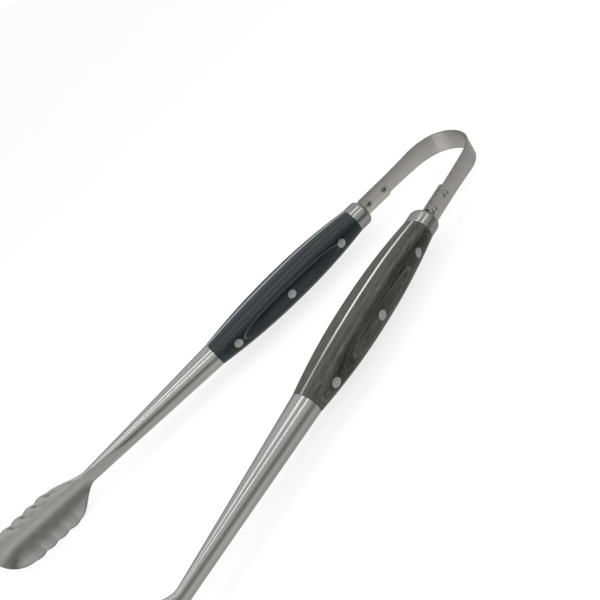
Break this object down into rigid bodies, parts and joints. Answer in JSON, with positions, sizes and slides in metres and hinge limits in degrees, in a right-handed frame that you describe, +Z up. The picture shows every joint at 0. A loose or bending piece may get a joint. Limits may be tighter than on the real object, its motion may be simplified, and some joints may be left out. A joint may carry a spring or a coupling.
{
  "type": "barbecue tongs",
  "caption": "Long spring tongs: steel arms with riveted laminated wood handles and scalloped spoon jaws, joined by a bent steel bow.",
  "frame": {"origin": "middle of the bounding box, at its bottom", "axes": "the tongs lie on their side: +Y runs from the jaws to the bow, X runs across the opening with the right arm at +X, and +Z is up"},
  "size_m": [0.1718, 0.395, 0.0346],
  "materials": {
    "arm_steel": "polished and finely ground lengthwise",
    "bolster_steel": "polished",
    "pin_steel": "ground flush, satin",
    "rivet_steel": "domed, polished",
    "bow_steel": "satin, blasted",
    "laminated_wood": "dark dyed laminate, polished"
  },
  "bodies": {
    "bow": {"spring_bow": "bow_steel"},
    "left_half": {"left_arm": "arm_steel", "left_inner_scale": "laminated_wood", "left_outer_scale": "laminated_wood", "left_rear_bolster": "bolster_steel", "left_handle_pin_1": "pin_steel", "left_handle_pin_2": "pin_steel", "left_handle_pin_3": "pin_steel", "left_bow_rivet_1": "rivet_steel", "left_bow_rivet_2": "rivet_steel"},
    "right_half": {"right_arm": "arm_steel", "right_inner_scale": "laminated_wood", "right_outer_scale": "laminated_wood", "right_rear_bolster": "bolster_steel", "right_handle_pin_1": "pin_steel", "right_handle_pin_2": "pin_steel", "right_handle_pin_3": "pin_steel", "right_bow_rivet_1": "rivet_steel", "right_bow_rivet_2": "rivet_steel"}
  },
  "joints": [
    {"name": "left_squeeze", "type": "hinge", "parent": "bow", "child": "left_half", "pos_m": [-0.01976, 0.17846, 0.0173], "axis": [0, 0, 1], "range_deg": [-2.5, 12.2], "stiffness_Nm_per_rad": 6, "deforming": ["spring_bow"]},
    {"name": "right_squeeze", "type": "hinge", "parent": "bow", "child": "right_half", "pos_m": [0.01976, 0.17846, 0.0173], "axis": [0, 0, 1], "range_deg": [-12.2, 2.5], "stiffness_Nm_per_rad": 6, "deforming": ["spring_bow"]}
  ],
  "couplings": [
    {"joint": "right_squeeze", "follows": "left_squeeze", "ratio": -1}
  ]
}
